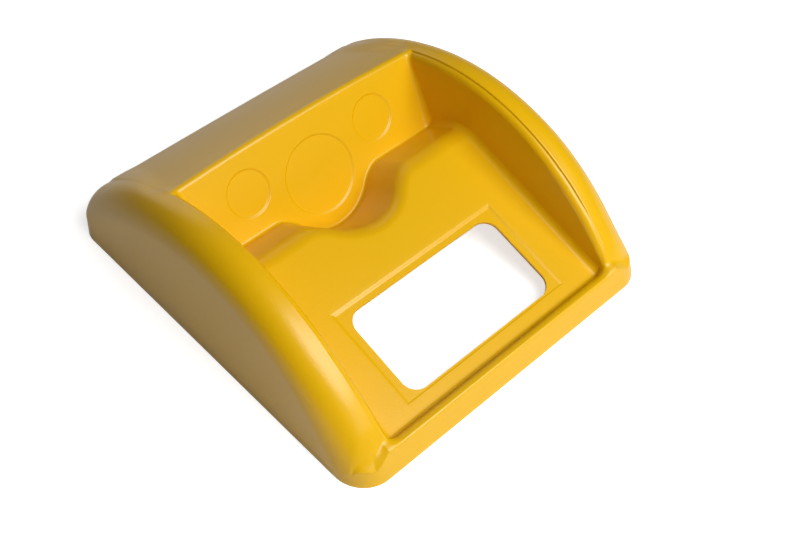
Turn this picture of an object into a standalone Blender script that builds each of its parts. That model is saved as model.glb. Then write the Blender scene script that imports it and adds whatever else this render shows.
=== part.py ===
"""Instrument cowl for a construction machine's console, moulded from one thick plastic sheet.

The cowl is a hood with an open underside. Two rounded cheeks flank a tray that holds, from
front to back, a low rim, a sloping deck with a window for a switch panel, a trough and an
upright gauge panel with three shallow round gauge seats. Four blocks bonded inside the side walls
carry brass threaded inserts, which hold the cowl down on its console.

Units are metres. X points to the operator's right, Y from front to back and Z up. The origin
is the middle of the bottom trim plane. The sheet's outer face is the zero level of a distance
field, and its inner face lies one sheet thickness below that level.
"""

import math

import bpy
import numpy as np

# Overall size and draft angles.
WIDTH = 0.478
DEPTH = 0.543
SHEET = 0.004
SIDE_DRAFT = math.radians(2.9)
BACK_DRAFT = math.radians(4.0)
WALL_DRAFT = math.radians(1.5)

# Cheeks: seen from the side, a straight run at the front, an arc, and a flatter arc behind it.
CREST_RADIUS = 0.295
CREST_Y = 0.270
CREST_TOP = 0.171
CREST_FRONT = math.radians(-47.0)
CREST_TURN = math.radians(15.0)
CREST_REAR_RADIUS = 0.425
EDGE_RADIUS = 0.034
EDGE_EXTRA = 0.007
EDGE_FADE = (0.03, 0.16)
BACK_RADIUS = 0.0245
FRONT_RADIUS = 0.020

# Inner edge of each cheek: a small step down to a ledge that rounds over into the tray's wall.
STEP_X = 0.1885
STEP_HEIGHT = 0.0025
STEP_ROUND = 0.0012
LEDGE_SLOPE = 0.25
LIP_RADIUS = 0.007
WALL_X = 0.1780
STEP_FADE = (0.045, 0.095)

# Profile of the tray in the middle plane: distance from the front trim edge, and height.
RIM_EDGE = (0.0100, 0.0334)
RIM_BACK = (0.0200, 0.0320)
DECK_FRONT = (0.0263, 0.0196)
DECK_REAR = (0.2692, 0.0961)
PANEL_FOOT = (0.3276, 0.0598)
RIDGE = (0.3801, 0.1498)
RIDGE_CROWN = 0.0052
CROWN_FADE = 0.8
ROOF_SLOPE = math.radians(25.5)
ROOF_ARC = 0.900
ROOF_RADIUS = 0.034
CREASE_X = (0.1800, 0.1410)
CREASE_END = 0.018
BEHIND_RIDGE = (-0.010, 0.030)
LEDGE_FADE = 0.040
CREASE_LEAN = math.radians(50.0)
CREASE_RADIUS = 0.020
RIM_ROUND = 0.004
RIM_END = 0.002
RIM_END_ROUND = 0.003
RIM_END_FADE = 0.045
RIM_SINK = 0.90
RIM_FILLET = 0.008
RIM_FILLET_FADE = 0.030
TRIM_ROUND = 0.003
FOOT_RADIUS = 0.010
REAR_FOOT_RADIUS = 0.005
RIDGE_RADIUS = 0.006
DECK_RADIUS = 0.012

# Gauge seats: distance down the panel from the ridge, distance from the middle, and radius.
LARGE_SEAT = (0.0840, 0.0, 0.0500)
SMALL_SEAT = (0.0558, 0.0993, 0.0295)
SEAT_DEPTH = 0.0015
SEAT_WALL = 0.0025
SEAT_SEGMENTS = 48
SCOOP_RADIUS = 0.0705
SCOOP_TAPER = 0.12
SCOOP_RISE = math.radians(47.6)
KINK_RADIUS = 0.018
SCOOP_MOUTH = 0.103
SCOOP_SETBACK = 0.046

# Window in the deck and the shallow seat around it, measured down the deck from its rear edge.
WINDOW_HALF_WIDTH = 0.1160
WINDOW_SPAN = (0.1132, 0.2321)
WINDOW_RADIUS = 0.020
PANEL_SEAT_HALF_WIDTH = 0.1270
PANEL_SEAT_SPAN = (0.1027, 0.2350)
PANEL_SEAT_DEPTH = (0.0020, 0.0008)
PANEL_SEAT_EDGE = (0.0026, 0.0013)

# Mounting blocks and threaded inserts.
BLOCK_SIZE = (0.018, 0.040, 0.024)
BLOCK_Y = (0.110, 0.420)
GAP = 0.0003
INSERT_RADIUS = 0.0045
INSERT_LENGTH = 0.012
INSERT_BORE = 0.0025
FLANGE_RADIUS = 0.0058
FLANGE_HEIGHT = 0.0012
KNURL_DEPTH = 0.00015

# Sampling of the sheet: distances from the front, and distances from the middle.
ROWS_FRONT = (0.0, 0.0050, 0.0090, 0.0104, 0.0155, 0.0200, 0.0240, 0.0285)
ROWS_DECK = (0.036, 0.0437, 0.0463, 0.080, 0.120, 0.160, 0.1688, 0.1736, 0.205, 0.228)
ROWS_TROUGH = (0.242, 0.253, 0.262, 0.270, 0.280, 0.294, 0.308, 0.320, 0.3255, 0.3300)
ROWS_PANEL = (0.338, 0.350, 0.362, 0.373, 0.3785, 0.3830)
ROWS_ROOF = (0.395, 0.418, 0.442, 0.466, 0.488, 0.506, 0.520, 0.531, 0.539)
ROWS_BACK = (0.5400, 0.5413, 0.5422)
CORNER_BOW = 0.0146
CORNER_SQUEEZE = 0.28
CORNER_REACH = (0.05, 0.02)
LOW_BAND = 0.008
COLUMNS_FLOOR = (0.0, 0.018, 0.036, 0.052, 0.065, 0.078, 0.098, 0.1245, 0.1295, 0.150, 0.1655)


def unit(y, z):
    """A direction in the profile plane, scaled to length one."""
    length = math.hypot(y, z)
    return y / length, z / length


def above_line(y, z, start, end):
    """Signed distance from the line through two profile points, positive above it."""
    along_y, along_z = unit(end[0] - start[0], end[1] - start[1])
    return (z - start[1]) * along_y - (y - start[0]) * along_z


def common(a, b, radius):
    """What two solids share, with the edge between them rounded over."""
    outside = np.hypot(np.maximum(a + radius, 0.0), np.maximum(b + radius, 0.0))
    return np.minimum(np.maximum(a, b), -radius) + outside


def joined(a, b, radius):
    """Two solids joined, with a fillet in the corner between them."""
    return -common(-a, -b, radius)


def ramp(value, start, end):
    """Smooth step from 0 at start to 1 at end."""
    t = np.clip((value - start) / (end - start), 0.0, 1.0)
    return t * t * (3.0 - 2.0 * t)


def crest(y, z):
    """Distance above the line that the cheeks follow from front to back."""
    centre_z = CREST_TOP - CREST_RADIUS
    angle = np.arctan2(y - CREST_Y, z - centre_z)
    angle = np.clip(angle, CREST_FRONT, CREST_TURN)
    ahead = (y - CREST_Y) * np.sin(angle) + (z - centre_z) * np.cos(angle) - CREST_RADIUS
    shift = CREST_REAR_RADIUS - CREST_RADIUS
    rear_y = CREST_Y - shift * math.sin(CREST_TURN)
    rear_z = centre_z - shift * math.cos(CREST_TURN)
    rear = np.hypot(y - rear_y, z - rear_z) - CREST_REAR_RADIUS
    return np.where(np.arctan2(y - rear_y, z - rear_z) > CREST_TURN, rear, ahead)


def front_face(y, z):
    """The plain strip below the rim, which leans back from the front trim edge."""
    return above_line(y, z, (0.0, 0.0), RIM_EDGE)


def back_face(y, z):
    """The low wall at the back, which leans forward from the back trim edge."""
    return (y - DEPTH + z * math.tan(BACK_DRAFT)) * math.cos(BACK_DRAFT)


def side_face(x, z):
    """The plain outer side, which leans inwards from the side trim edge."""
    return (x - WIDTH / 2 + z * math.tan(SIDE_DRAFT)) * math.cos(SIDE_DRAFT)


def cheeks(x, y, z):
    """Both cheeks, with the tray between them cut out and the ledge cut along their edge.

    Behind the ridge the tray's wall gives way to a soft crease where the roof meets the cheek.
    """
    height = crest(y, z)
    profile = common(height, front_face(y, z), FRONT_RADIUS)
    profile = common(profile, back_face(y, z), BACK_RADIUS)
    hull = common(profile, side_face(x, z), EDGE_RADIUS + EDGE_EXTRA * (1.0 - ramp(y, *EDGE_FADE)))
    behind = ramp(y - RIDGE[0], *BEHIND_RIDGE)
    drop = STEP_HEIGHT * ramp(y, *STEP_FADE) + LEDGE_SLOPE * (STEP_X - x) - LEDGE_FADE * behind
    ledge = common(hull, -common(x - STEP_X, -height - drop, STEP_ROUND), STEP_ROUND)
    crease_x = np.interp(y, (RIDGE[0], DEPTH - CREASE_END), CREASE_X)
    lean = np.tan(WALL_DRAFT + (CREASE_LEAN - WALL_DRAFT) * behind)
    over_roof = np.maximum(roof_level(x, y, z), 0.0)
    wall = wall_x(z) - x + behind * (crease_x + over_roof * lean - wall_x(z))
    wall /= np.sqrt(1.0 + lean ** 2)
    return common(ledge, wall, LIP_RADIUS + (CREASE_RADIUS - LIP_RADIUS) * behind)


def scoop(x, y, z):
    """The cone that opens the trough in front of the large gauge seat."""
    down = LARGE_SEAT[0]
    foot_y, foot_z = unit(PANEL_FOOT[0] - RIDGE[0], PANEL_FOOT[1] - RIDGE[1] - RIDGE_CROWN)
    start_y = RIDGE[0] + foot_y * down
    start_z = RIDGE[1] + RIDGE_CROWN + foot_z * down
    axis_y, axis_z = -math.cos(SCOOP_RISE), math.sin(SCOOP_RISE)
    along = (y - start_y) * axis_y + (z - start_z) * axis_z
    across = (y - start_y) * axis_z - (z - start_z) * axis_y
    reach = np.hypot(x, across) - SCOOP_RADIUS - SCOOP_TAPER * along
    return reach / math.hypot(1.0, SCOOP_TAPER)


def panel_seat(x, y):
    """How far the shallow seat around the window sinks into the deck at each place."""
    down = (DECK_REAR[0] - y) / unit(DECK_REAR[0] - DECK_FRONT[0], DECK_REAR[1] - DECK_FRONT[1])[0]
    rear, front = PANEL_SEAT_SPAN
    wide, narrow = PANEL_SEAT_EDGE
    inside = np.minimum(ramp(down - rear, -wide, wide), ramp(front - down, -narrow, narrow))
    inside = np.minimum(inside, ramp(PANEL_SEAT_HALF_WIDTH - x, -wide, wide))
    return np.interp(down, PANEL_SEAT_SPAN, PANEL_SEAT_DEPTH) * inside


def roof_level(x, y, z):
    """Distance above the roof and the back wall, behind the slightly crowned ridge."""
    top = RIDGE[1] + RIDGE_CROWN
    fall = RIDGE_CROWN * (x / STEP_X) ** 2 * (1.0 - CROWN_FADE * ramp(y, RIDGE[0], DEPTH))
    centre_y = RIDGE[0] - ROOF_ARC * math.sin(ROOF_SLOPE)
    centre_z = top - ROOF_ARC * math.cos(ROOF_SLOPE)
    roof = np.hypot(y - centre_y, z + fall - centre_z) - ROOF_ARC
    return common(roof, back_face(y, z), ROOF_RADIUS)


def middle(x, y, z):
    """Everything between the cheeks: rim, deck, trough, gauge panel, ridge and roof."""
    deck = above_line(y, z, DECK_FRONT, DECK_REAR) + panel_seat(x, y)
    trough = common(above_line(y, z, DECK_REAR, PANEL_FOOT), -scoop(x, y, z), KINK_RADIUS)
    floor = common(deck, trough, DECK_RADIUS)
    rim = common(above_line(y, z, RIM_EDGE, RIM_BACK), above_line(y, z, RIM_BACK, DECK_FRONT), RIM_ROUND)
    rim = rim + RIM_SINK * np.maximum(x - STEP_X, 0.0)
    floor = joined(floor, rim, RIM_ROUND)
    panel = above_line(y, z, PANEL_FOOT, (RIDGE[0], RIDGE[1] + RIDGE_CROWN))
    block = common(panel, roof_level(x, y, z), RIDGE_RADIUS)
    body = joined(floor, block, RIM_ROUND)
    near_front = 1.0 - ramp(y, RIM_EDGE[0], RIM_END_FADE)
    inner_end = x - STEP_X - RIM_END
    end = inner_end + (side_face(x, z) - inner_end) * near_front
    corner = RIM_END_ROUND + (EDGE_RADIUS + EDGE_EXTRA - RIM_END_ROUND) * near_front
    return common(body, common(front_face(y, z), end, corner), RIM_END_ROUND)


def sheet_level(x, y, z):
    """Signed distance from the sheet's outer face, negative inside the sheet and below it."""
    x = np.abs(x)
    fillet = FOOT_RADIUS + (REAR_FOOT_RADIUS - FOOT_RADIUS) * ramp(y, PANEL_FOOT[0], RIDGE[0])
    fillet = fillet + RIM_FILLET * (1.0 - ramp(y, RIM_EDGE[0], RIM_FILLET_FADE))
    whole = joined(cheeks(x, y, z), middle(x, y, z), fillet)
    corner = common(front_face(y, z), side_face(x, z), EDGE_RADIUS + EDGE_EXTRA)
    return common(np.maximum(whole, corner), back_face(y, z), TRIM_ROUND)


def settle(points, level):
    """Move points along the field's slope until they lie on the wanted level.

    Points near the trim plane keep their height, so the trim edge stays flat.
    """
    delta = 1e-5
    low = points[..., 2] < LOW_BAND
    for _ in range(12):
        slope = np.empty_like(points)
        for axis in range(3):
            shift = np.zeros(3)
            shift[axis] = delta
            ahead = sheet_level(*np.moveaxis(points + shift, -1, 0))
            behind = sheet_level(*np.moveaxis(points - shift, -1, 0))
            slope[..., axis] = (ahead - behind) / (2 * delta)
        slope[low, 2] = 0.0
        error = sheet_level(*np.moveaxis(points, -1, 0)) - level
        steepness = np.maximum((slope ** 2).sum(axis=-1), 0.2)
        points = points - slope * (error / steepness)[..., None]
    return points


def wall_x(z):
    """Distance of the tray's side wall from the middle at this height."""
    return WALL_X + (z - DECK_FRONT[1]) * math.tan(WALL_DRAFT)


def floor_height(x, y):
    """Height of the tray's floor, found by halving the interval that holds it."""
    low, high = -0.02, 0.20
    for _ in range(24):
        half = (low + high) / 2
        if middle(abs(x), y, half) < 0.0:
            low = half
        else:
            high = half
    return max(0.0, half)


def warped(x, row_y):
    """Shift a row near the trough so that it follows the scoop's edges."""
    down = unit(PANEL_FOOT[0] - RIDGE[0], PANEL_FOOT[1] - RIDGE[1] - RIDGE_CROWN)[0]
    reach = math.sqrt(max(0.0, SCOOP_RADIUS ** 2 - x * x)) + 0.0005
    foot = min(PANEL_FOOT[0], RIDGE[0] + down * (LARGE_SEAT[0] + reach))
    bow = math.sqrt(max(0.0, SCOOP_MOUTH ** 2 - x * x))
    rear = min(DECK_REAR[0], RIDGE[0] - SCOOP_SETBACK - bow)
    before = (ROWS_DECK[-2], DECK_REAR[0], PANEL_FOOT[0], RIDGE[0])
    after = (ROWS_DECK[-2], rear, foot, RIDGE[0])
    return float(np.interp(row_y, before, after)) if before[0] < row_y < before[-1] else row_y


def cheek_height(row_y):
    """Height of the sharp-cornered cheek profile at this distance from the front."""
    low, high = 0.0, CREST_TOP + 0.01
    for _ in range(24):
        height = (low + high) / 2
        if crest(row_y, height) < 0.0:
            low = height
        else:
            high = height
    front = row_y * RIM_EDGE[1] / RIM_EDGE[0]
    back = (DEPTH - row_y) / math.tan(BACK_DRAFT)
    return max(0.0, min(height, front, back))


def half_row(row_y):
    """Starting points of one row, from the middle of the tray to the trim edge on one side."""
    top = cheek_height(row_y)
    points = []
    for x in COLUMNS_FLOOR:
        y = warped(x, row_y)
        points.append((x, y, floor_height(x, y)))
    floor = points[-1][2]
    rise = max(0.0, top - floor)
    for inward, share in ((0.006, 0.0), (0.0015, 0.04), (0.0, 0.35), (0.0, 0.75)):
        z = floor + rise * share
        points.append((wall_x(z) - inward, row_y, z))
    for x in (wall_x(top) + 0.002, wall_x(top) + 0.005, STEP_X - 0.0008, STEP_X + 0.0010):
        points.append((x, row_y, floor + rise))
    radius = min(EDGE_RADIUS, 0.75 * top)
    turn = WIDTH / 2 - 0.008 - EDGE_RADIUS
    for degrees in (0, 22, 44, 66, 88):
        angle = math.radians(degrees)
        height = top - radius * (1.0 - math.cos(angle))
        points.append((turn + EDGE_RADIUS * math.sin(angle), row_y, height))
    points += [(WIDTH / 2 - 0.004, row_y, 0.5 * (top - radius)), (WIDTH / 2, row_y, 0.0)]
    return points


def grid(level):
    """Points of one face of the sheet, as rows from front to back and columns left to right."""
    rows = list(ROWS_FRONT + ROWS_DECK + ROWS_TROUGH + ROWS_PANEL + ROWS_ROOF)
    rows += list(ROWS_BACK) + [DEPTH]
    points = []
    for row_y in rows:
        crowd = max(0.0, 1.0 - row_y / CORNER_REACH[0], 1.0 - (DEPTH - row_y) / CORNER_REACH[1])
        inward = CORNER_BOW * crowd * (1.0 if row_y < DEPTH / 2 else -1.0)
        half = []
        for x, y, z in half_row(row_y):
            outside = max(0.0, x - STEP_X)
            share = min(1.0, outside / (WIDTH / 2 - STEP_X))
            half.append((x - CORNER_SQUEEZE * outside * crowd, y + inward * share ** 2, z))
        points.append([(-x, y, z) for x, y, z in half[:0:-1]] + half)
    points = np.array(points)
    points[0, :, 2] = 0.0
    points[-1, :, 2] = 0.0
    return settle(points, level)


def sheet_solid():
    """Vertices and faces of the sheet between its outer and its inner face."""
    outer = grid(0.0)
    inner = outer.copy()
    inner[..., 2] -= np.where(outer[..., 2] > LOW_BAND + SHEET, 0.5 * SHEET, 0.0)
    inner = settle(inner, -SHEET)
    rows, columns = outer.shape[:2]
    count = rows * columns
    vertices = np.concatenate([outer.reshape(-1, 3), inner.reshape(-1, 3)])
    vertices[:, 1] -= DEPTH / 2
    faces = []
    for i in range(rows - 1):
        for j in range(columns - 1):
            a = i * columns + j
            quad = (a, a + 1, a + columns + 1, a + columns)
            faces.append(quad)
            faces.append(tuple(count + k for k in reversed(quad)))
    loop = list(range(columns))
    loop += [i * columns + columns - 1 for i in range(1, rows)]
    loop += [(rows - 1) * columns + j for j in range(columns - 2, -1, -1)]
    loop += [i * columns for i in range(rows - 2, 0, -1)]
    for k, a in enumerate(loop):
        b = loop[(k + 1) % len(loop)]
        faces.append((b, a, count + a, count + b))
    return vertices.tolist(), faces


def new_object(name, vertices, faces, material=None):
    """A mesh object in the scene."""
    mesh = bpy.data.meshes.new(name)
    mesh.from_pydata(vertices, [], faces)
    mesh.validate()
    obj = bpy.data.objects.new(name, mesh)
    bpy.context.collection.objects.link(obj)
    if material:
        mesh.materials.append(material)
    return obj


def solid_lathe(name, profile, centre, segments):
    """A solid of revolution whose profile starts and ends on the vertical axis."""
    vertices = [(centre[0], centre[1], centre[2] + profile[0][1])]
    for radius, height in profile[1:-1]:
        for k in range(segments):
            angle = 2 * math.pi * k / segments
            vertices.append((centre[0] + radius * math.cos(angle),
                             centre[1] + radius * math.sin(angle), centre[2] + height))
    vertices.append((centre[0], centre[1], centre[2] + profile[-1][1]))
    rings = len(profile) - 2
    tip = len(vertices) - 1
    faces = []
    for k in range(segments):
        beside = (k + 1) % segments
        faces.append((0, 1 + beside, 1 + k))
        last = 1 + (rings - 1) * segments
        faces.append((last + k, last + beside, tip))
        for ring in range(rings - 1):
            a = 1 + ring * segments
            faces.append((a + k, a + beside, a + segments + beside, a + segments + k))
    return new_object(name, vertices, faces)


def finish(name, colour, roughness, metallic=0.0):
    """A plain material."""
    material = bpy.data.materials.new(name)
    material.use_nodes = True
    shader = material.node_tree.nodes["Principled BSDF"]
    shader.inputs["Base Color"].default_value = (*colour, 1.0)
    shader.inputs["Roughness"].default_value = roughness
    shader.inputs["Metallic"].default_value = metallic
    return material


def prism(name, centre, axes, outline, low, high):
    """A prism on a flat outline, which two axes span around a centre."""
    across, along = axes
    normal = np.cross(across, along)
    ring = [centre + across * u + along * v for u, v in outline]
    count = len(ring)
    vertices = [p + normal * low for p in ring] + [p + normal * high for p in ring]
    faces = [tuple(reversed(range(count))), tuple(range(count, 2 * count))]
    for k in range(count):
        following = (k + 1) % count
        faces.append((k, following, count + following, count + k))
    return new_object(name, [tuple(v) for v in vertices], faces)


def rounded_rectangle(half_width, half_length, radius, steps=8):
    """Outline of a rectangle with round corners, anticlockwise."""
    outline = []
    for quarter in range(4):
        side_u = (1, -1, -1, 1)[quarter]
        side_v = (1, 1, -1, -1)[quarter]
        for k in range(steps + 1):
            angle = math.pi / 2 * (quarter + k / steps)
            u = side_u * (half_width - radius) + radius * math.cos(angle)
            v = side_v * (half_length - radius) + radius * math.sin(angle)
            outline.append((u, v))
    return outline


def lathe(name, profile, centre, segments, material=None, ripple=None):
    """A solid of revolution about a vertical axis, from (radius, height) pairs.

    The profile is a closed loop. Rings listed in ripple are knurled.
    """
    vertices = []
    for number, (radius, height) in enumerate(profile):
        for k in range(segments):
            angle = 2 * math.pi * k / segments
            knurl = KNURL_DEPTH if ripple and number in ripple and k % 2 else 0.0
            reach = radius - knurl
            vertices.append((centre[0] + reach * math.cos(angle),
                             centre[1] + reach * math.sin(angle), centre[2] + height))
    faces = []
    rings = len(profile)
    for number in range(rings):
        following = (number + 1) % rings
        for k in range(segments):
            beside = (k + 1) % segments
            faces.append((number * segments + k, number * segments + beside,
                          following * segments + beside, following * segments + k))
    return new_object(name, vertices, faces, material)


def combine(target, tool, operation):
    """Join a helper solid to a part or cut it away, and hide the helper."""
    modifier = target.modifiers.new(operation.lower(), "BOOLEAN")
    modifier.operation = operation
    modifier.object = tool
    modifier.solver = "EXACT"
    tool.hide_render = True
    tool.display_type = "WIRE"


def panel_axes():
    """Ridge point in the middle, and the panel's directions across and up."""
    ridge = np.array((0.0, RIDGE[0] - DEPTH / 2, RIDGE[1] + RIDGE_CROWN))
    foot = np.array((0.0, PANEL_FOOT[0] - DEPTH / 2, PANEL_FOOT[1]))
    up = (ridge - foot) / np.linalg.norm(ridge - foot)
    return ridge, np.array((1.0, 0.0, 0.0)), up


def sink_gauge_seats(shell):
    """Sink the three round seats into the panel, with the sheet bulging as far on its inside."""
    ridge, across, up = panel_axes()
    seats = {"seat_large": (0.0, LARGE_SEAT[0], LARGE_SEAT[2])}
    for side, name in ((-1, "seat_left"), (1, "seat_right")):
        seats[name] = (side * SMALL_SEAT[1], SMALL_SEAT[0], SMALL_SEAT[2])
    for name, (x, down, radius) in seats.items():
        centre = ridge + across * x - up * down
        turns = [2 * math.pi * k / SEAT_SEGMENTS for k in range(SEAT_SEGMENTS)]
        ring = [(math.cos(turn), math.sin(turn)) for turn in turns]
        wide = [((radius + SEAT_WALL) * u, (radius + SEAT_WALL) * v) for u, v in ring]
        bulge = prism(name + "_bulge", centre, (across, up), wide, -SHEET - SEAT_DEPTH, -SHEET / 2)
        combine(shell, bulge, "UNION")
        outline = [(radius * u, radius * v) for u, v in ring]
        pocket = prism(name + "_pocket", centre, (across, up), outline, -SEAT_DEPTH, SHEET)
        combine(shell, pocket, "DIFFERENCE")


def cut_window(shell):
    """Cut the window for the switch panel through the deck."""
    rear = np.array((0.0, DECK_REAR[0] - DEPTH / 2, DECK_REAR[1]))
    front = np.array((0.0, DECK_FRONT[0] - DEPTH / 2, DECK_FRONT[1]))
    up = (rear - front) / np.linalg.norm(rear - front)
    near, far = WINDOW_SPAN
    centre = rear - up * (near + far) / 2
    outline = rounded_rectangle(WINDOW_HALF_WIDTH, (far - near) / 2, WINDOW_RADIUS)
    axes = (np.array((1.0, 0.0, 0.0)), up)
    window = prism("window_cutter", centre, axes, outline, -4 * SHEET, 4 * SHEET)
    combine(shell, window, "DIFFERENCE")


def build_shell():
    """The moulded sheet with its gauge seats and its window."""
    vertices, faces = sheet_solid()
    yellow = finish("yellow_abs", (0.89, 0.52, 0.01), 0.38)
    shell = new_object("cowl_shell", vertices, faces, yellow)
    shell.data.shade_smooth()
    shell.data.set_sharp_from_angle(angle=math.radians(35.0))
    sink_gauge_seats(shell)
    cut_window(shell)


def build_block(name, side, y, material):
    """A block whose outer face follows the drafted side wall, with a socket for its insert."""
    width, length, height = BLOCK_SIZE
    wall = WIDTH / 2 - SHEET / math.cos(SIDE_DRAFT) - GAP
    vertices = []
    for z in (0.0, height):
        outer = side * (wall - z * math.tan(SIDE_DRAFT))
        inner = side * (wall - width)
        for x, end in ((outer, -1), (outer, 1), (inner, 1), (inner, -1)):
            vertices.append((x, y + end * length / 2, z))
    faces = [(3, 2, 1, 0), (4, 5, 6, 7)]
    faces += [(k, (k + 1) % 4, (k + 1) % 4 + 4, k + 4) for k in range(4)]
    if side < 0:
        faces = [tuple(reversed(face)) for face in faces]
    block = new_object(name, vertices, faces, material)
    axis = (side * (wall - width / 2), y, 0.0)
    reach = INSERT_RADIUS + GAP
    rim = FLANGE_RADIUS + GAP
    depth = INSERT_LENGTH + 2 * GAP
    profile = [(0.0, -SHEET), (rim, -SHEET), (rim, FLANGE_HEIGHT + GAP)]
    profile += [(reach, FLANGE_HEIGHT + GAP), (reach, depth), (0.0, depth)]
    combine(block, solid_lathe(name + "_socket", profile, axis, 24), "DIFFERENCE")
    return axis


def build_insert(name, axis, material):
    """A knurled threaded insert with a flange, pressed up into its block."""
    top = INSERT_LENGTH
    edge = 0.0004
    profile = [(INSERT_BORE, 0.0), (FLANGE_RADIUS, 0.0), (FLANGE_RADIUS, FLANGE_HEIGHT)]
    profile += [(INSERT_RADIUS - KNURL_DEPTH, FLANGE_HEIGHT)]
    profile += [(INSERT_RADIUS, FLANGE_HEIGHT + edge), (INSERT_RADIUS, top * 0.45)]
    profile += [(INSERT_RADIUS - 2 * KNURL_DEPTH, top * 0.50)]
    profile += [(INSERT_RADIUS - 2 * KNURL_DEPTH, top * 0.56)]
    profile += [(INSERT_RADIUS, top * 0.61), (INSERT_RADIUS, top - edge)]
    profile += [(INSERT_RADIUS - 2 * edge, top), (INSERT_BORE, top)]
    insert = lathe(name, profile, axis, 32, material, ripple=(4, 5, 8, 9))
    insert.data.shade_smooth()
    insert.data.set_sharp_from_angle(angle=math.radians(35.0))


def main():
    """Clear the scene and build every piece."""
    for obj in list(bpy.data.objects):
        bpy.data.objects.remove(obj, do_unlink=True)
    build_shell()
    black = finish("block_abs", (0.03, 0.03, 0.03), 0.55)
    brass = finish("brass", (0.80, 0.58, 0.24), 0.30, metallic=1.0)
    for side_name, side in (("left", -1), ("right", 1)):
        for end_name, y in zip(("front", "rear"), BLOCK_Y):
            place = f"{side_name}_{end_name}"
            axis = build_block("mount_block_" + place, side, y - DEPTH / 2, black)
            build_insert("threaded_insert_" + place, axis, brass)


main()
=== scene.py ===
"""Studio view of the instrument cowl.

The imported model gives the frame. Its sheet is shown by a finer copy of the same surface: the
outer face is the zero level of a distance field, the inner face lies one sheet thickness below
it, and the mesh is fine wherever the surface turns. Lengths are metres. Inside the field, y is
measured from the front trim edge; the finished mesh is moved back to the frame's own origin.
"""

import math

import bpy
import numpy as np
from mathutils import Matrix, Vector


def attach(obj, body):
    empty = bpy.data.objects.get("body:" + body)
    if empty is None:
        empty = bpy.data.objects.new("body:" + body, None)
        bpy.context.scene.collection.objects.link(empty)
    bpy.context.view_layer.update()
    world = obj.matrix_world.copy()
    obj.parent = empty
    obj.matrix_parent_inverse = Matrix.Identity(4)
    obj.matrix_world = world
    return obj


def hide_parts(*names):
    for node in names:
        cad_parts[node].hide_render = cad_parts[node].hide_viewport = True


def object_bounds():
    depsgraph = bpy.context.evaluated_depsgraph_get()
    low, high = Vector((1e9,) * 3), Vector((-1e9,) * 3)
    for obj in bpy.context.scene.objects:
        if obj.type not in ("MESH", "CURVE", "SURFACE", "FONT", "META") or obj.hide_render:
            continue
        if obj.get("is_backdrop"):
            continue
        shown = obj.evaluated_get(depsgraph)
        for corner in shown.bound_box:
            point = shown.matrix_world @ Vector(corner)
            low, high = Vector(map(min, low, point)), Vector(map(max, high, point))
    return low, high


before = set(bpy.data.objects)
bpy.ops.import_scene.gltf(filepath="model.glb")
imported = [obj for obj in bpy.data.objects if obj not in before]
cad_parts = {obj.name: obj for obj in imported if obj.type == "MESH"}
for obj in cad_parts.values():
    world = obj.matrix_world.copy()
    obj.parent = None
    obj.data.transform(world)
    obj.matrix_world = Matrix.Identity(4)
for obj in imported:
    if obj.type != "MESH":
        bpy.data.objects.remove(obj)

CAD_LOW, CAD_HIGH = (Vector(corner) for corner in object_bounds())

# Overall size and draft angles.
WIDTH = CAD_HIGH.x - CAD_LOW.x
DEPTH = CAD_HIGH.y - CAD_LOW.y
SHEET = 0.004
SIDE_DRAFT = math.radians(2.9)
BACK_DRAFT = math.radians(4.0)
WALL_DRAFT = math.radians(1.5)

# Cheeks: seen from the side, a straight run at the front, an arc, and a flatter arc behind it.
CREST_RADIUS = 0.295
CREST_Y = 0.270
CREST_TOP = 0.171
CREST_FRONT = math.radians(-47.0)
CREST_TURN = math.radians(15.0)
CREST_REAR_RADIUS = 0.425
EDGE_RADIUS = 0.034
EDGE_EXTRA = 0.007
EDGE_FADE = (0.03, 0.16)
BACK_RADIUS = 0.0245
FRONT_RADIUS = 0.020

# Inner edge of each cheek: a small step down to a ledge that rounds over into the tray's wall.
STEP_X = 0.1885
STEP_HEIGHT = 0.0025
STEP_ROUND = 0.0012
LEDGE_SLOPE = 0.25
LIP_RADIUS = 0.007
WALL_X = 0.1780
STEP_FADE = (0.045, 0.095)

# Profile of the tray in the middle plane: distance from the front trim edge, and height.
RIM_EDGE = (0.0100, 0.0334)
RIM_BACK = (0.0200, 0.0320)
DECK_FRONT = (0.0263, 0.0196)
DECK_REAR = (0.2692, 0.0961)
PANEL_FOOT = (0.3276, 0.0598)
RIDGE = (0.3801, 0.1498)
RIDGE_CROWN = 0.0052
CROWN_FADE = 0.8
ROOF_SLOPE = math.radians(25.5)
ROOF_ARC = 0.900
ROOF_RADIUS = 0.034
CREASE_X = (0.1800, 0.1410)
CREASE_END = 0.018
BEHIND_RIDGE = (-0.010, 0.030)
LEDGE_FADE = 0.040
CREASE_LEAN = math.radians(50.0)
CREASE_RADIUS = 0.020
RIM_ROUND = 0.004
RIM_END = 0.002
RIM_END_ROUND = 0.003
RIM_END_FADE = 0.045
RIM_SINK = 0.90
RIM_FILLET = 0.008
RIM_FILLET_FADE = 0.030
TRIM_ROUND = 0.003
FOOT_RADIUS = 0.010
REAR_FOOT_RADIUS = 0.005
RIDGE_RADIUS = 0.006
DECK_RADIUS = 0.012

# Gauge seats: distance down the panel from the ridge, distance from the middle, and radius.
LARGE_SEAT = (0.0840, 0.0, 0.0500)
SMALL_SEAT = (0.0558, 0.0993, 0.0295)
SEAT_DEPTH = 0.0015
SEAT_EDGE = 0.0016
SCOOP_RADIUS = 0.0705
SCOOP_TAPER = 0.12
SCOOP_RISE = math.radians(47.6)
KINK_RADIUS = 0.018
SCOOP_MOUTH = 0.103
SCOOP_SETBACK = 0.046

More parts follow.
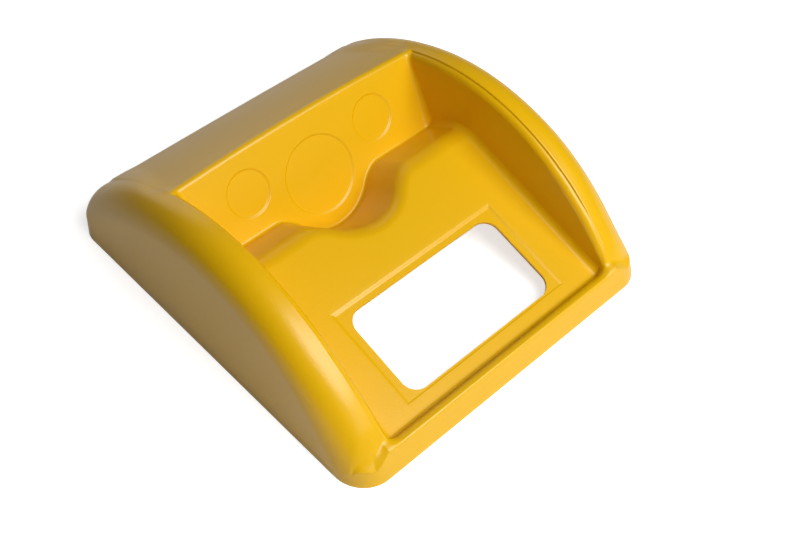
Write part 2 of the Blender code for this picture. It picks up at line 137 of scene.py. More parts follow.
# Window in the deck and the shallow seat around it, measured down the deck from its rear edge.
WINDOW_HALF_WIDTH = 0.1160
WINDOW_SPAN = (0.1132, 0.2321)
WINDOW_RADIUS = 0.020
PANEL_SEAT_HALF_WIDTH = 0.1270
PANEL_SEAT_SPAN = (0.1027, 0.2350)
PANEL_SEAT_DEPTH = (0.0020, 0.0008)
PANEL_SEAT_EDGE = (0.0026, 0.0013)

# Sampling: starting rows and columns, size of a basic cell, and turns that split a cell.
ROWS_FRONT = (0.0, 0.0050, 0.0090, 0.0104, 0.0155, 0.0200, 0.0240, 0.0285)
ROWS_DECK = (0.036, 0.0437, 0.0463, 0.080, 0.120, 0.160, 0.1688, 0.1736, 0.205, 0.228)
ROWS_TROUGH = (0.242, 0.253, 0.262, 0.270, 0.280, 0.294, 0.308, 0.320, 0.3255, 0.3300)
ROWS_PANEL = (0.338, 0.350, 0.362, 0.373, 0.3785, 0.3830)
ROWS_ROOF = (0.395, 0.418, 0.442, 0.466, 0.488, 0.506, 0.520, 0.531, 0.539)
ROWS_BACK = (0.5400, 0.5413, 0.5422)
CORNER_BOW = 0.0146
CORNER_SQUEEZE = 0.28
CORNER_REACH = (0.05, 0.02)
LOW_BAND = 0.008
COLUMNS_FLOOR = (0.0, 0.018, 0.036, 0.052, 0.065, 0.078, 0.098, 0.1245, 0.1295, 0.150, 0.1655)
CELL = 0.0055
FINE = 4
HAIR = 0.0005
WINDOW_NEAR = 0.0012
WINDOW_BLEND = (0.014, 0.008)
LEAST_STEEPNESS = 0.2
WALL_POINTS = ((0.006, 0.0), (0.0015, 0.04), (0.0, 0.35), (0.0, 0.75))
EDGE_TURNS = (0, 22, 44, 66, 88)
SPLIT_TURN = math.radians(3.0)
QUARTER_TURN = math.radians(8.0)

# Camera: place (y from the front trim edge), heading from +Y towards +X, tilt down, roll.
CAMERA_PLACE = (-0.6334, -0.4650, 1.1088)
CAMERA_HEADING = math.radians(43.85)
CAMERA_TILT = math.radians(49.74)
CAMERA_ROLL = math.radians(0.868)
CAMERA_LENS = 52.26

# Studio: floor, and each light's direction, distance, width and power.
FLOOR_HALF_SIZE = 12.0
FLOOR_GLOW = 0.70
MIRRORED_GLOW = 0.2
KEY_LIGHT = ((0.10, -0.66, 0.75), 2.2, 1.9, 59.0)
BACK_LIGHT = ((0.25, 0.90, 0.32), 2.4, 1.8, 7.0)
SURROUNDING = 0.28
MIRRORED_WALL = 1.6


def unit(y, z):
    """A direction in the profile plane, scaled to length one."""
    length = math.hypot(y, z)
    return y / length, z / length


def above_line(y, z, start, end):
    """Signed distance from the line through two profile points, positive above it."""
    along_y, along_z = unit(end[0] - start[0], end[1] - start[1])
    return (z - start[1]) * along_y - (y - start[0]) * along_z


def common(a, b, radius):
    """What two solids share, with the edge between them rounded over."""
    outside = np.hypot(np.maximum(a + radius, 0.0), np.maximum(b + radius, 0.0))
    return np.minimum(np.maximum(a, b), -radius) + outside


def joined(a, b, radius):
    """Two solids joined, with a fillet in the corner between them."""
    return -common(-a, -b, radius)


def ramp(value, start, end):
    """Smooth step from 0 at start to 1 at end."""
    t = np.clip((value - start) / (end - start), 0.0, 1.0)
    return t * t * (3.0 - 2.0 * t)


def crest(y, z):
    """Distance above the line that the cheeks follow from front to back."""
    centre_z = CREST_TOP - CREST_RADIUS
    angle = np.arctan2(y - CREST_Y, z - centre_z)
    angle = np.clip(angle, CREST_FRONT, CREST_TURN)
    ahead = (y - CREST_Y) * np.sin(angle) + (z - centre_z) * np.cos(angle) - CREST_RADIUS
    shift = CREST_REAR_RADIUS - CREST_RADIUS
    rear_y = CREST_Y - shift * math.sin(CREST_TURN)
    rear_z = centre_z - shift * math.cos(CREST_TURN)
    rear = np.hypot(y - rear_y, z - rear_z) - CREST_REAR_RADIUS
    return np.where(np.arctan2(y - rear_y, z - rear_z) > CREST_TURN, rear, ahead)


def front_face(y, z):
    """The plain strip below the rim, which leans back from the front trim edge."""
    return above_line(y, z, (0.0, 0.0), RIM_EDGE)


def back_face(y, z):
    """The low wall at the back, which leans forward from the back trim edge."""
    return (y - DEPTH + z * math.tan(BACK_DRAFT)) * math.cos(BACK_DRAFT)


def side_face(x, z):
    """The plain outer side, which leans inwards from the side trim edge."""
    return (x - WIDTH / 2 + z * math.tan(SIDE_DRAFT)) * math.cos(SIDE_DRAFT)


def cheeks(x, y, z):
    """Both cheeks, with the tray between them cut out and the ledge cut along their edge.

    Behind the ridge the tray's wall gives way to a soft crease where the roof meets the cheek.
    """
    height = crest(y, z)
    profile = common(height, front_face(y, z), FRONT_RADIUS)
    profile = common(profile, back_face(y, z), BACK_RADIUS)
    hull = common(profile, side_face(x, z), EDGE_RADIUS + EDGE_EXTRA * (1.0 - ramp(y, *EDGE_FADE)))
    behind = ramp(y - RIDGE[0], *BEHIND_RIDGE)
    drop = STEP_HEIGHT * ramp(y, *STEP_FADE) + LEDGE_SLOPE * (STEP_X - x) - LEDGE_FADE * behind
    ledge = common(hull, -common(x - STEP_X, -height - drop, STEP_ROUND), STEP_ROUND)
    crease_x = np.interp(y, (RIDGE[0], DEPTH - CREASE_END), CREASE_X)
    lean = np.tan(WALL_DRAFT + (CREASE_LEAN - WALL_DRAFT) * behind)
    over_roof = np.maximum(roof_level(x, y, z), 0.0)
    wall = wall_x(z) - x + behind * (crease_x + over_roof * lean - wall_x(z))
    wall /= np.sqrt(1.0 + lean ** 2)
    return common(ledge, wall, LIP_RADIUS + (CREASE_RADIUS - LIP_RADIUS) * behind)


def scoop(x, y, z):
    """The cone that opens the trough in front of the large gauge seat."""
    down = LARGE_SEAT[0]
    foot_y, foot_z = unit(PANEL_FOOT[0] - RIDGE[0], PANEL_FOOT[1] - RIDGE[1] - RIDGE_CROWN)
    start_y = RIDGE[0] + foot_y * down
    start_z = RIDGE[1] + RIDGE_CROWN + foot_z * down
    axis_y, axis_z = -math.cos(SCOOP_RISE), math.sin(SCOOP_RISE)
    along = (y - start_y) * axis_y + (z - start_z) * axis_z
    across = (y - start_y) * axis_z - (z - start_z) * axis_y
    reach = np.hypot(x, across) - SCOOP_RADIUS - SCOOP_TAPER * along
    return reach / math.hypot(1.0, SCOOP_TAPER)


def panel_seat(x, y):
    """How far the shallow seat around the window sinks into the deck at each place."""
    down = (DECK_REAR[0] - y) / unit(DECK_REAR[0] - DECK_FRONT[0], DECK_REAR[1] - DECK_FRONT[1])[0]
    rear, front = PANEL_SEAT_SPAN
    wide, narrow = PANEL_SEAT_EDGE
    inside = np.minimum(ramp(down - rear, -wide, wide), ramp(front - down, -narrow, narrow))
    inside = np.minimum(inside, ramp(PANEL_SEAT_HALF_WIDTH - x, -wide, wide))
    return np.interp(down, PANEL_SEAT_SPAN, PANEL_SEAT_DEPTH) * inside


def gauge_seats(x, y, z):
    """How far the three blank gauge seats sink into the panel at each place."""
    foot_y, foot_z = unit(PANEL_FOOT[0] - RIDGE[0], PANEL_FOOT[1] - RIDGE[1] - RIDGE_CROWN)
    down = (y - RIDGE[0]) * foot_y + (z - RIDGE[1] - RIDGE_CROWN) * foot_z
    depth = np.zeros_like(down)
    for seat_down, seat_x, radius in (LARGE_SEAT, SMALL_SEAT):
        inside = radius - np.hypot(x - seat_x, down - seat_down)
        depth = np.maximum(depth, SEAT_DEPTH * ramp(inside, -SEAT_EDGE, SEAT_EDGE))
    return depth


def roof_level(x, y, z):
    """Distance above the roof and the back wall, behind the slightly crowned ridge."""
    top = RIDGE[1] + RIDGE_CROWN
    fall = RIDGE_CROWN * (x / STEP_X) ** 2 * (1.0 - CROWN_FADE * ramp(y, RIDGE[0], DEPTH))
    centre_y = RIDGE[0] - ROOF_ARC * math.sin(ROOF_SLOPE)
    centre_z = top - ROOF_ARC * math.cos(ROOF_SLOPE)
    roof = np.hypot(y - centre_y, z + fall - centre_z) - ROOF_ARC
    return common(roof, back_face(y, z), ROOF_RADIUS)


def middle(x, y, z):
    """Everything between the cheeks: rim, deck, trough, gauge panel, ridge and roof."""
    deck = above_line(y, z, DECK_FRONT, DECK_REAR) + panel_seat(x, y)
    trough = common(above_line(y, z, DECK_REAR, PANEL_FOOT), -scoop(x, y, z), KINK_RADIUS)
    floor = common(deck, trough, DECK_RADIUS)
    rim = common(above_line(y, z, RIM_EDGE, RIM_BACK), above_line(y, z, RIM_BACK, DECK_FRONT), RIM_ROUND)
    rim = rim + RIM_SINK * np.maximum(x - STEP_X, 0.0)
    floor = joined(floor, rim, RIM_ROUND)
    panel = above_line(y, z, PANEL_FOOT, (RIDGE[0], RIDGE[1] + RIDGE_CROWN)) + gauge_seats(x, y, z)
    block = common(panel, roof_level(x, y, z), RIDGE_RADIUS)
    body = joined(floor, block, RIM_ROUND)
    near_front = 1.0 - ramp(y, RIM_EDGE[0], RIM_END_FADE)
    inner_end = x - STEP_X - RIM_END
    end = inner_end + (side_face(x, z) - inner_end) * near_front
    corner = RIM_END_ROUND + (EDGE_RADIUS + EDGE_EXTRA - RIM_END_ROUND) * near_front
    return common(body, common(front_face(y, z), end, corner), RIM_END_ROUND)


def sheet_level(x, y, z):
    """Signed distance from the sheet's outer face, negative inside the sheet and below it."""
    x = np.abs(x)
    fillet = FOOT_RADIUS + (REAR_FOOT_RADIUS - FOOT_RADIUS) * ramp(y, PANEL_FOOT[0], RIDGE[0])
    fillet = fillet + RIM_FILLET * (1.0 - ramp(y, RIM_EDGE[0], RIM_FILLET_FADE))
    whole = joined(cheeks(x, y, z), middle(x, y, z), fillet)
    corner = common(front_face(y, z), side_face(x, z), EDGE_RADIUS + EDGE_EXTRA)
    return common(np.maximum(whole, corner), back_face(y, z), TRIM_ROUND)


def level_and_slope(points):
    """The field's value and its slope at each point."""
    delta = 1e-5
    level = sheet_level(*points.T)
    slope = np.empty_like(points)
    for axis in range(3):
        shift = np.zeros(3)
        shift[axis] = delta
        slope[:, axis] = (sheet_level(*(points + shift).T) - level) / delta
    return level, slope


def settle(points, wanted, steps, flat=False):
    """Move points along the field's slope onto the wanted level.

    Points near the trim plane, and points marked flat, keep their height.
    """
    flat = flat | (points[:, 2] < LOW_BAND)
    for _ in range(steps):
        level, slope = level_and_slope(points)
        slope[flat, 2] = 0.0
        steepness = np.maximum((slope ** 2).sum(axis=1), LEAST_STEEPNESS)
        points = points - slope * ((level - wanted) / steepness)[:, None]
    return points


def wall_x(z):
    """Distance of the tray's side wall from the middle at this height."""
    return WALL_X + (z - DECK_FRONT[1]) * math.tan(WALL_DRAFT)


def floor_height(x, y):
    """Height of the tray's floor, found by halving the interval that holds it."""
    low, high = -0.02, 0.20
    for _ in range(20):
        half = (low + high) / 2
        if middle(abs(x), y, half) < 0.0:
            low = half
        else:
            high = half
    return max(0.0, half)


def warped(x, row_y):
    """Shift a row near the trough so that it follows the scoop's edges."""
    down = unit(PANEL_FOOT[0] - RIDGE[0], PANEL_FOOT[1] - RIDGE[1] - RIDGE_CROWN)[0]
    reach = math.sqrt(max(0.0, SCOOP_RADIUS ** 2 - x * x)) + HAIR
    foot = min(PANEL_FOOT[0], RIDGE[0] + down * (LARGE_SEAT[0] + reach))
    bow = math.sqrt(max(0.0, SCOOP_MOUTH ** 2 - x * x))
    rear = min(DECK_REAR[0], RIDGE[0] - SCOOP_SETBACK - bow)
    before = (ROWS_DECK[-2], DECK_REAR[0], PANEL_FOOT[0], RIDGE[0])
    after = (ROWS_DECK[-2], rear, foot, RIDGE[0])
    return float(np.interp(row_y, before, after)) if before[0] < row_y < before[-1] else row_y


def cheek_height(row_y):
    """Height of the sharp-cornered cheek profile at this distance from the front."""
    low, high = 0.0, CREST_TOP + 0.01
    for _ in range(20):
        height = (low + high) / 2
        if crest(row_y, height) < 0.0:
            low = height
        else:
            high = height
    front = row_y * RIM_EDGE[1] / RIM_EDGE[0]
    back = (DEPTH - row_y) / math.tan(BACK_DRAFT)
    return max(0.0, min(height, front, back))


def half_row(row_y):
    """Starting points of one row, from the middle of the tray to the trim edge on one side."""
    top = cheek_height(row_y)
    points = []
    for x in COLUMNS_FLOOR:
        y = warped(x, row_y)
        points.append((x, y, floor_height(x, y)))
    floor = points[-1][2]
    rise = max(0.0, top - floor)
    for inward, share in WALL_POINTS:
        z = floor + rise * share
        points.append((wall_x(z) - inward, row_y, z))
    for x in (wall_x(top) + 0.002, wall_x(top) + 0.005, STEP_X - 0.0008, STEP_X + 0.0010):
        points.append((x, row_y, floor + rise))
    radius = min(EDGE_RADIUS, 0.75 * top)
    turn = WIDTH / 2 - 0.008 - EDGE_RADIUS
    for degrees in EDGE_TURNS:
        angle = math.radians(degrees)
        height = top - radius * (1.0 - math.cos(angle))
        points.append((turn + EDGE_RADIUS * math.sin(angle), row_y, height))
    points += [(WIDTH / 2 - 0.004, row_y, 0.5 * (top - radius)), (WIDTH / 2, row_y, 0.0)]
    return points


def border(shape):
    """True for the points of a grid that lie on the trim edge."""
    mask = np.ones(shape, bool)
    mask[1:-1, 1:-1] = False
    return mask


def coarse_grids():
    """Coarse points of the sheet's outer and inner faces, as rows from front to back."""
    rows = list(ROWS_FRONT + ROWS_DECK + ROWS_TROUGH + ROWS_PANEL + ROWS_ROOF)
    rows = [row for row in rows + list(ROWS_BACK) if row < DEPTH - HAIR] + [DEPTH]
    points = []
    for row_y in rows:
        crowd = max(0.0, 1.0 - row_y / CORNER_REACH[0], 1.0 - (DEPTH - row_y) / CORNER_REACH[1])
        inward = CORNER_BOW * crowd * (1.0 if row_y < DEPTH / 2 else -1.0)
        half = []
        for x, y, z in half_row(row_y):
            outside = max(0.0, x - STEP_X)
            share = min(1.0, outside / (WIDTH / 2 - STEP_X))
            half.append((x - CORNER_SQUEEZE * outside * crowd, y + inward * share ** 2, z))
        points.append([(-x, y, z) for x, y, z in half[:0:-1]] + half)
    points = np.array(points)
    points[[0, -1], :, 2] = 0.0
    outer = settle(points.reshape(-1, 3), 0.0, 12)
    inner = outer.copy()
    inner[:, 2] -= np.where(outer[:, 2] > LOW_BAND + SHEET, 0.5 * SHEET, 0.0)
    inner = settle(inner, -SHEET, 12)
    return outer.reshape(points.shape), inner.reshape(points.shape)


def positions_along(grid, axis):
    """Fractional grid positions along one axis, with FINE steps in each basic cell."""
    gaps = np.linalg.norm(np.diff(grid, axis=axis), axis=2)
    longest = np.percentile(gaps, 90, axis=1 - axis)
    steps = [np.arange(cells * FINE) / (cells * FINE)
             for cells in np.maximum(1, np.ceil(longest / CELL)).astype(int)]
    return np.concatenate([start + step for start, step in enumerate(steps)] + [[len(steps)]])


def between(grid, rows, columns):
    """Points of a grid at fractional positions."""
    i = np.minimum(rows.astype(int), grid.shape[0] - 2)
    j = np.minimum(columns.astype(int), grid.shape[1] - 2)
    u = (rows - i)[:, None, None]
    v = (columns - j)[None, :, None]
    near = grid[i][:, j] * (1 - v) + grid[i][:, j + 1] * v
    far = grid[i + 1][:, j] * (1 - v) + grid[i + 1][:, j + 1] * v
    return near * (1 - u) + far * u


def deck_axes():
    """A point on the deck's rear edge, the direction down the deck, and its normal."""
    along_y, along_z = unit(DECK_REAR[0] - DECK_FRONT[0], DECK_REAR[1] - DECK_FRONT[1])
    rear = np.array((0.0, DECK_REAR[0], DECK_REAR[1]))
    return rear, np.array((0.0, -along_y, -along_z)), np.array((0.0, -along_z, along_y))


def window_distance(points):
    """Distance outside the window's rounded outline, and the way out of it in the deck's plane."""
    rear, down, _ = deck_axes()
    along = (points - rear) @ down
    half = (WINDOW_SPAN[1] - WINDOW_SPAN[0]) / 2
    u = points[..., 0]
    v = along - WINDOW_SPAN[0] - half
    over_u = np.abs(u) - WINDOW_HALF_WIDTH + WINDOW_RADIUS
    over_v = np.abs(v) - half + WINDOW_RADIUS
    reach = np.hypot(np.maximum(over_u, 0.0), np.maximum(over_v, 0.0))
    distance = np.minimum(np.maximum(over_u, over_v), 0.0) + reach - WINDOW_RADIUS
    corner = reach > 1e-9
    share = np.maximum(reach, 1e-9)
    way_u = np.where(corner, np.maximum(over_u, 0.0) / share, over_u > over_v) * np.sign(u)
    way_v = np.where(corner, np.maximum(over_v, 0.0) / share, over_u <= over_v) * np.sign(v)
    way = way_v[..., None] * down
    way[..., 0] = way_u
    return distance, way


def cell_steps(slopes, distance):
    """Lattice steps of each basic cell's faces: FINE when whole, down to 1 where it must be fine."""
    normals = slopes / np.linalg.norm(slopes, axis=2, keepdims=True)
    tiles = tuple(slice(k, -FINE + k if k < FINE else None, FINE) for k in range(FINE + 1))
    corners = np.stack([normals[a, b] for a in tiles for b in tiles])
    average = corners.mean(axis=0)
    average /= np.linalg.norm(average, axis=2, keepdims=True)
    turn = np.arccos(np.clip((corners * average).sum(axis=3), -1.0, 1.0)).max(axis=0)
    far = np.stack([distance[a, b] for a in tiles for b in tiles])
    cut = (far.min(axis=0) < WINDOW_NEAR) & (far.max(axis=0) > -WINDOW_NEAR)
    steps = np.full(turn.shape, FINE)
    steps[turn > SPLIT_TURN] = FINE // 2
    steps[(turn > QUARTER_TURN) | cut] = 1
    return steps, cut


def grid_faces(steps, kept):
    """Faces of the kept cells over lattice points, with neighbours' finer points let in."""
    rows, columns = steps.shape
    used = np.zeros((rows * FINE + 1, columns * FINE + 1), bool)
    small = []
    for i in range(rows):
        for j in range(columns):
            step = int(steps[i, j])
            for a in range(i * FINE, (i + 1) * FINE, step):
                for b in range(j * FINE, (j + 1) * FINE, step):
                    if kept[a, b]:
                        small.append((a, b, step))
                        used[a:a + step + 1:step, b:b + step + 1:step] = True
    faces = []
    for a, b, step in small:
        around = [(a, b + k) for k in range(step)] + [(a + k, b + step) for k in range(step)]
        around += [(a + step, b + step - k) for k in range(step)]
        around += [(a + step - k, b) for k in range(step)]
        faces.append([corner for corner in around if used[corner]])
    return faces, used


def rim_edges(kept, used):
    """Edges between kept cells and open space, each with the kept side on its left."""
    edges = []
    padded = np.zeros((kept.shape[0] + 2, kept.shape[1] + 2), bool)
    padded[1:-1, 1:-1] = kept
    for a in range(padded.shape[0] - 1):
        line = padded[a, 1:-1] != padded[a + 1, 1:-1]
        edges += chained([((a, b), (a, b + 1)) for b in np.flatnonzero(line)], used, padded[a + 1, 1:-1])
    for b in range(padded.shape[1] - 1):
        line = padded[1:-1, b] != padded[1:-1, b + 1]
        edges += chained([((a, b), (a + 1, b)) for a in np.flatnonzero(line)], used, padded[1:-1, b])
    return edges


def chained(unit_edges, used, kept_beyond):
    """Merge unit edges across lattice points that carry no vertex, and turn them to face out."""
    merged = []
    for start, end in unit_edges:
        place = start[1] if start[0] == end[0] else start[0]
        forward = bool(kept_beyond[place])
        if merged and merged[-1][1] == start and not used[start]:
            merged[-1] = (merged[-1][0], end, merged[-1][2])
        else:
            merged.append((start, end, forward))
    return [(a, b) if forward else (b, a) for a, b, forward in merged]


def sheet_mesh():
    """Vertices, normals and faces of the sheet, with the counts that end its outer and inner face."""
    coarse_outer, coarse_inner = coarse_grids()
    rows = positions_along(coarse_outer, 0)
    columns = positions_along(coarse_outer, 1)
    outer = between(coarse_outer, rows, columns)
    trim = border(outer.shape[:2])
    outer = settle(outer.reshape(-1, 3), 0.0, 1)
    _, slopes = level_and_slope(outer)
    distance, _ = window_distance(outer)
    shape = trim.shape
    outer = outer.reshape(*shape, 3)
    distance = distance.reshape(shape)
    near_deck = (outer[..., 1] < DECK_REAR[0]) & (np.abs(outer[..., 0]) < WALL_X)
    distance = np.where(near_deck, distance, 1.0)
    steps, cut = cell_steps(slopes.reshape(*shape, 3), distance)
    centre = (distance[1:, 1:] + distance[:-1, :-1] + distance[1:, :-1] + distance[:-1, 1:]) / 4
    kept = centre > 0.0
    plain = np.minimum(FINE, np.maximum(steps, FINE // 2))
    edge = border(steps.shape)
    inner_steps = np.where(edge | cut, steps, plain)
    outer_faces, outer_used = grid_faces(steps, kept)
    inner_faces, inner_used = grid_faces(inner_steps, kept)
    return stitch(coarse_inner, rows, columns, outer, distance, kept,
                  outer_faces, outer_used, inner_faces, inner_used)


def stitch(coarse_inner, rows, columns, outer, distance, kept,
           outer_faces, outer_used, inner_faces, inner_used):
    """Settle the vertices of both faces and join them along the trim edge and the window."""
    trim = border(outer.shape[:2])
    _, _, normal = deck_axes()
    near = np.zeros(outer.shape[:2], int)
    for shift_a in (0, 1):
        for shift_b in (0, 1):
            near[shift_a:shift_a + kept.shape[0], shift_b:shift_b + kept.shape[1]] += kept
    at_window = (near > 0) & (near < 4) & ~trim
    vertices = []
    normals = []
    places = []
    inner = between(coarse_inner, rows, columns)
    blend = np.clip((WINDOW_BLEND[0] - distance) / WINDOW_BLEND[1], 0.0, 1.0)[..., None]
    inner = inner * (1 - blend) + (outer - SHEET * normal) * blend
    total = 0
    window_rim = None
    for start, used, wanted in ((outer, outer_used, 0.0), (inner, inner_used, -SHEET)):
        points = settle(start[used], wanted, 4)
        rim = at_window[used]
        if window_rim is None:
            gap, way = window_distance(points[rim])
            points[rim] -= way * gap[:, None]
            points = settle(points, wanted, 1, flat=rim)
            window_rim = points[rim]
        else:
            points[rim] = window_rim - SHEET * normal
        _, slope = level_and_slope(points)
        place = np.full(used.shape, -1)
        place[used] = np.arange(total, total + len(points))
        total += len(points)
        vertices.append(points)
        normals.append(slope * (1.0 if wanted == 0.0 else -1.0))
        places.append(place)
    faces = [[places[0][corner] for corner in face] for face in outer_faces]
    faces += [[places[1][corner] for corner in reversed(face)] for face in inner_faces]
    smooth = len(faces)
    for a, b in rim_edges(kept, outer_used):
        faces.append([places[0][b], places[0][a], places[1][a], places[1][b]])
    vertices = np.concatenate(vertices)
    vertices[:, 1] += CAD_LOW.y
    return vertices, np.concatenate(normals), faces, len(outer_faces), smooth


def build_shell(outside, inside):
    """The cowl's sheet as one closed mesh, shaded with the exact slope of its surface."""
    vertices, normals, faces, outer, smooth = sheet_mesh()
    mesh = bpy.data.meshes.new("cowl_sheet")
    mesh.from_pydata(vertices.tolist(), [], [list(map(int, face)) for face in faces])
    shell = bpy.data.objects.new("cowl_sheet", mesh)
    bpy.context.collection.objects.link(shell)
    mesh.materials.append(outside)
    mesh.materials.append(inside)
    corner_vertex = np.empty(len(mesh.loops), int)
    mesh.loops.foreach_get("vertex_index", corner_vertex)
    corner_normals = normals[corner_vertex]
    corner_normals /= np.linalg.norm(corner_normals, axis=1, keepdims=True)
    for polygon in mesh.polygons[smooth:]:
        corners = slice(polygon.loop_start, polygon.loop_start + polygon.loop_total)
        corner_normals[corners] = polygon.normal
    for polygon in mesh.polygons[outer:]:
        polygon.material_index = 1
    mesh.shade_smooth()
    mesh.normals_split_custom_set(corner_normals.tolist())
    return shell


def finish_material(name):
    """A new node material, with its node tree and its Principled shader."""
    material = bpy.data.materials.new(name)
    material.use_nodes = True
    tree = material.node_tree
    return material, tree, tree.nodes["Principled BSDF"]


def haircell(tree, size, strength, distance):
    """Fine leathery moulded grain as a bump node: worn cells over a finer noise."""
    nodes, links = tree.nodes, tree.links
    place = nodes.new("ShaderNodeTexCoord")
    cells = nodes.new("ShaderNodeTexVoronoi")
    cells.feature = "SMOOTH_F1"
    cells.inputs["Scale"].default_value = 1.0 / size
    cells.inputs["Smoothness"].default_value = 0.6
    noise = nodes.new("ShaderNodeTexNoise")
    noise.inputs["Scale"].default_value = 0.8 / size
    noise.inputs["Detail"].default_value = 3.0
    mix = nodes.new("ShaderNodeMath")
    mix.operation = "ADD"
    bump = nodes.new("ShaderNodeBump")
    bump.inputs["Strength"].default_value = strength
    bump.inputs["Distance"].default_value = distance
    links.new(place.outputs["Object"], cells.inputs["Vector"])
    links.new(place.outputs["Object"], noise.inputs["Vector"])
    links.new(cells.outputs["Distance"], mix.inputs[0])
    links.new(noise.outputs["Fac"], mix.inputs[1])
    links.new(mix.outputs[0], bump.inputs["Height"])
    return bump


def varied(tree, scale, low, high, socket):
    """Drive a number socket with soft noise between two values."""
    place = tree.nodes.new("ShaderNodeTexCoord")
    noise = tree.nodes.new("ShaderNodeTexNoise")
    noise.inputs["Scale"].default_value = scale
    noise.inputs["Detail"].default_value = 2.0
    span = tree.nodes.new("ShaderNodeMapRange")
    span.inputs["To Min"].default_value = low
    span.inputs["To Max"].default_value = high
    tree.links.new(place.outputs["Object"], noise.inputs["Vector"])
    tree.links.new(noise.outputs["Fac"], span.inputs["Value"])
    tree.links.new(span.outputs["Result"], socket)


def yellow_outside():
    """Grained semi-gloss yellow plastic."""
    material, tree, shader = finish_material("yellow_grained")
    shader.inputs["Base Color"].default_value = (0.80, 0.45, 0.002, 1.0)
    shader.inputs["Specular IOR Level"].default_value = 0.5
    varied(tree, 9.0, 0.26, 0.34, shader.inputs["Roughness"])
    bump = haircell(tree, 0.0014, 0.22, 0.0004)
    tree.links.new(bump.outputs["Normal"], shader.inputs["Normal"])
    return material


def yellow_inside():
    """The same plastic on the hidden side, plain and duller."""
    material, tree, shader = finish_material("yellow_plain")
    shader.inputs["Base Color"].default_value = (0.80, 0.42, 0.004, 1.0)
    varied(tree, 14.0, 0.48, 0.60, shader.inputs["Roughness"])
    return material


def black_plastic():
    """Sawn black plastic of the bonded blocks."""
    material, tree, shader = finish_material("black_block")
    shader.inputs["Base Color"].default_value = (0.03, 0.03, 0.03, 1.0)
    varied(tree, 60.0, 0.50, 0.65, shader.inputs["Roughness"])
    bump = haircell(tree, 0.0008, 0.25, 0.0003)
    tree.links.new(bump.outputs["Normal"], shader.inputs["Normal"])
    return material


def turned_brass():
    """Brass with faint turning marks."""
    material, tree, shader = finish_material("turned_brass")
    shader.inputs["Base Color"].default_value = (0.80, 0.58, 0.24, 1.0)
    shader.inputs["Metallic"].default_value = 1.0
    varied(tree, 400.0, 0.22, 0.36, shader.inputs["Roughness"])
    return material


def floor_material():
    """Plain studio floor that looks white, both directly and mirrored in the plastic."""
    material, tree, shader = finish_material("studio_floor")
    shader.inputs["Base Color"].default_value = (0.85, 0.85, 0.85, 1.0)
    shader.inputs["Specular IOR Level"].default_value = 0.0
    varied(tree, 0.5, 0.85, 0.95, shader.inputs["Roughness"])
    view = tree.nodes.new("ShaderNodeLightPath")
    seen = tree.nodes.new("ShaderNodeMath")
    seen.operation = "MULTIPLY_ADD"
    seen.inputs[1].default_value = MIRRORED_GLOW
    glow = tree.nodes.new("ShaderNodeMath")
    glow.operation = "MULTIPLY"
    glow.inputs[1].default_value = FLOOR_GLOW
    shader.inputs["Emission Color"].default_value = (1.0, 1.0, 1.0, 1.0)
    tree.links.new(view.outputs["Is Glossy Ray"], seen.inputs[0])
    tree.links.new(view.outputs["Is Camera Ray"], seen.inputs[2])
    tree.links.new(seen.outputs[0], glow.inputs[0])
    tree.links.new(glow.outputs[0], shader.inputs["Emission Strength"])
    return material


def add_floor():
    """A wide plain floor just below the trim edge."""
    half = FLOOR_HALF_SIZE
    height = CAD_LOW.z - HAIR
    corners = [(-half, -half, height), (half, -half, height), (half, half, height), (-half, half, height)]
    mesh = bpy.data.meshes.new("studio_floor")
    mesh.from_pydata(corners, [], [(0, 1, 2, 3)])
    mesh.materials.append(floor_material())
    floor = bpy.data.objects.new("studio_floor", mesh)
    bpy.context.collection.objects.link(floor)
    floor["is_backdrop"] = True


def add_soft_light(name, direction, distance, size, power):
    """A round soft light that shines at the cowl's middle."""
    middle_point = (CAD_LOW + CAD_HIGH) / 2
    away = Vector(direction).normalized()
    light = bpy.data.lights.new(name, "AREA")
    light.shape = "DISK"
    light.size = size
    light.energy = power
    holder = bpy.data.objects.new(name, light)
    holder.location = middle_point + away * distance
    holder.rotation_euler = away.to_track_quat("Z", "Y").to_euler()
    bpy.context.collection.objects.link(holder)


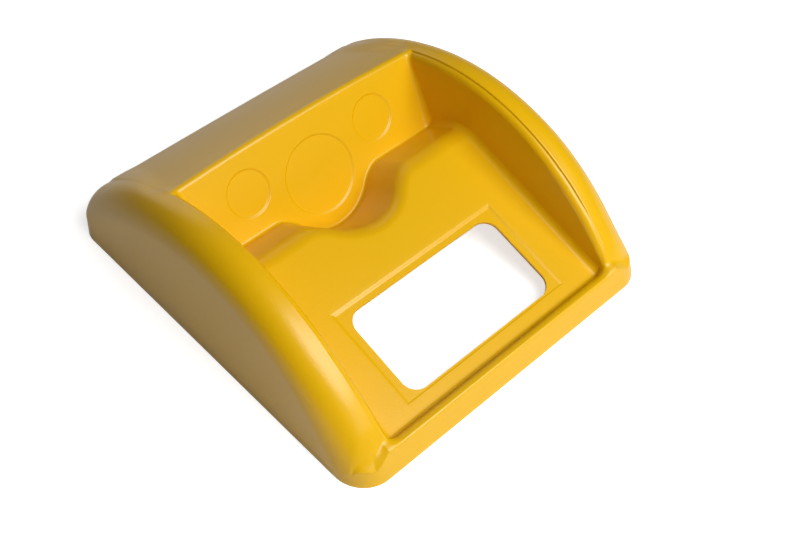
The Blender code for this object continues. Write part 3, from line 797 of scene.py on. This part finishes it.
def add_world(even, horizon):
    """An even dim surrounding that mirrors as a pale wall behind the cowl."""
    world = bpy.data.worlds.new("studio")
    world.use_nodes = True
    tree = world.node_tree
    background = tree.nodes["Background"]
    place = tree.nodes.new("ShaderNodeTexCoord")
    toward = tree.nodes.new("ShaderNodeVectorMath")
    toward.operation = "DOT_PRODUCT"
    toward.inputs[1].default_value = Vector((0.35, 0.90, 0.15)).normalized()
    span = tree.nodes.new("ShaderNodeMapRange")
    span.interpolation_type = "SMOOTHSTEP"
    span.inputs["From Min"].default_value = 0.2
    span.inputs["From Max"].default_value = 1.0
    span.inputs["To Min"].default_value = 0.0
    span.inputs["To Max"].default_value = horizon
    view = tree.nodes.new("ShaderNodeLightPath")
    total = tree.nodes.new("ShaderNodeMath")
    total.operation = "MULTIPLY_ADD"
    total.inputs[2].default_value = even
    tree.links.new(place.outputs["Generated"], toward.inputs[0])
    tree.links.new(toward.outputs["Value"], span.inputs["Value"])
    tree.links.new(span.outputs["Result"], total.inputs[0])
    tree.links.new(view.outputs["Is Glossy Ray"], total.inputs[1])
    tree.links.new(total.outputs[0], background.inputs["Strength"])
    bpy.context.scene.world = world


def add_camera():
    """The camera stands high in front of the cowl's left corner and looks down across it."""
    sin_h, cos_h = math.sin(CAMERA_HEADING), math.cos(CAMERA_HEADING)
    sin_t, cos_t = math.sin(CAMERA_TILT), math.cos(CAMERA_TILT)
    ahead = Vector((cos_t * sin_h, cos_t * cos_h, -sin_t))
    level_right = Vector((cos_h, -sin_h, 0.0))
    level_up = Vector((sin_t * sin_h, sin_t * cos_h, cos_t))
    right = math.cos(CAMERA_ROLL) * level_right + math.sin(CAMERA_ROLL) * level_up
    up = math.cos(CAMERA_ROLL) * level_up - math.sin(CAMERA_ROLL) * level_right
    data = bpy.data.cameras.new("photo_camera")
    data.sensor_width = 36.0
    data.lens = CAMERA_LENS
    data.clip_end = 100.0
    camera = bpy.data.objects.new("photo_camera", data)
    place = Vector((CAMERA_PLACE[0], CAD_LOW.y + CAMERA_PLACE[1], CAMERA_PLACE[2]))
    turn = Matrix((right, up, -ahead)).transposed().to_4x4()
    camera.matrix_world = Matrix.Translation(place) @ turn
    bpy.context.collection.objects.link(camera)
    bpy.context.scene.camera = camera


def main():
    """Build the pieces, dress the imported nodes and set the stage."""
    shell = build_shell(yellow_outside(), yellow_inside())
    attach(shell, "root")
    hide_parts("cowl_shell")
    looks = {"mount_block": black_plastic(), "threaded_insert": turned_brass()}
    for name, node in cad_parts.items():
        for prefix, material in looks.items():
            if name.startswith(prefix):
                for place in node.material_slots:
                    place.material = material
    add_floor()
    add_soft_light("key_light", *KEY_LIGHT)
    add_soft_light("back_light", *BACK_LIGHT)
    add_world(SURROUNDING, MIRRORED_WALL)
    add_camera()
    bpy.context.scene.view_settings.view_transform = "Standard"


main()
